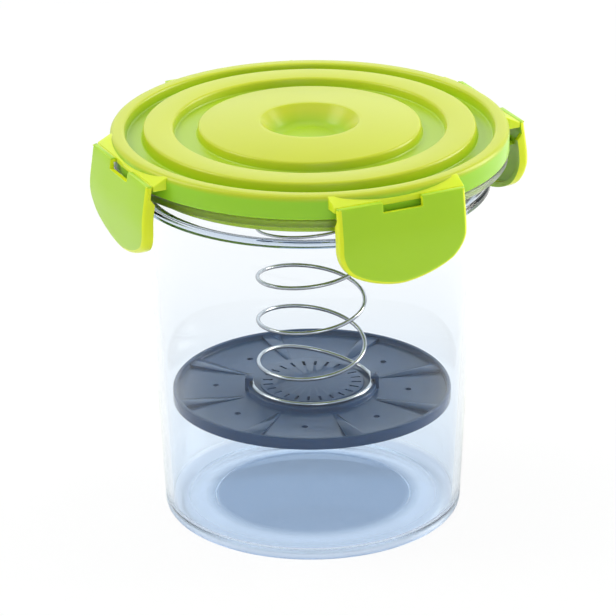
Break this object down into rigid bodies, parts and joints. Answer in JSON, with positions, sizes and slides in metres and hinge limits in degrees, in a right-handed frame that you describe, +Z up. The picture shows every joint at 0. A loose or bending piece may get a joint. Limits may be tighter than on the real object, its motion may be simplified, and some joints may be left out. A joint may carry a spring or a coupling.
{
  "type": "pickle keeper",
  "caption": "Round clear canister with a snap-lock lid and a perforated press plate that hangs from the lid on a coil spring.",
  "frame": {"origin": "centre of the canister's foot, on the surface it stands on", "axes": "+Z up along the canister's axis; the four locking wings point along +X, +Y, -X and -Y"},
  "size_m": [0.1706, 0.1706, 0.1673],
  "materials": {
    "clear_plastic": "clear, lightly blue-tinted moulded plastic, polished",
    "lid_plastic": "lime-green moulded polypropylene, smooth satin gloss",
    "silicone": "soft translucent silicone",
    "spring_steel": "bright drawn stainless wire",
    "plate_plastic": "slate-grey moulded plastic, smooth"
  },
  "bodies": {
    "canister_body": {"canister": "clear_plastic"},
    "lid_body": {"lid": "lid_plastic", "seal_ring": "silicone", "spring": "spring_steel"},
    "plate_body": {"press_plate": "plate_plastic"},
    "wing_right_body": {"wing_right": "lid_plastic"},
    "wing_back_body": {"wing_back": "lid_plastic"},
    "wing_left_body": {"wing_left": "lid_plastic"},
    "wing_front_body": {"wing_front": "lid_plastic"}
  },
  "joints": [
    {"name": "lid_lift", "type": "slide", "parent": "canister_body", "child": "lid_body", "axis": [0, 0, 1], "range_m": [0, 0.13]},
    {"name": "plate_press", "type": "slide", "parent": "lid_body", "child": "plate_body", "axis": [0, 0, 1], "range_m": [0, 0.065], "stiffness_N_per_m": 160, "deforming": ["spring"]},
    {"name": "wing_right_hinge", "type": "hinge", "parent": "lid_body", "child": "wing_right_body", "pos_m": [0.0819, 0, 0.1608], "axis": [0, -1, 0], "range_deg": [-14, 140], "stiffness_Nm_per_rad": 0.02},
    {"name": "wing_back_hinge", "type": "hinge", "parent": "lid_body", "child": "wing_back_body", "pos_m": [0, 0.0819, 0.1608], "axis": [1, 0, 0], "range_deg": [-14, 140], "stiffness_Nm_per_rad": 0.02},
    {"name": "wing_left_hinge", "type": "hinge", "parent": "lid_body", "child": "wing_left_body", "pos_m": [-0.0819, 0, 0.1608], "axis": [0, 1, 0], "range_deg": [-14, 140], "stiffness_Nm_per_rad": 0.02},
    {"name": "wing_front_hinge", "type": "hinge", "parent": "lid_body", "child": "wing_front_body", "pos_m": [0, -0.0819, 0.1608], "axis": [-1, 0, 0], "range_deg": [-14, 140], "stiffness_Nm_per_rad": 0.02}
  ]
}
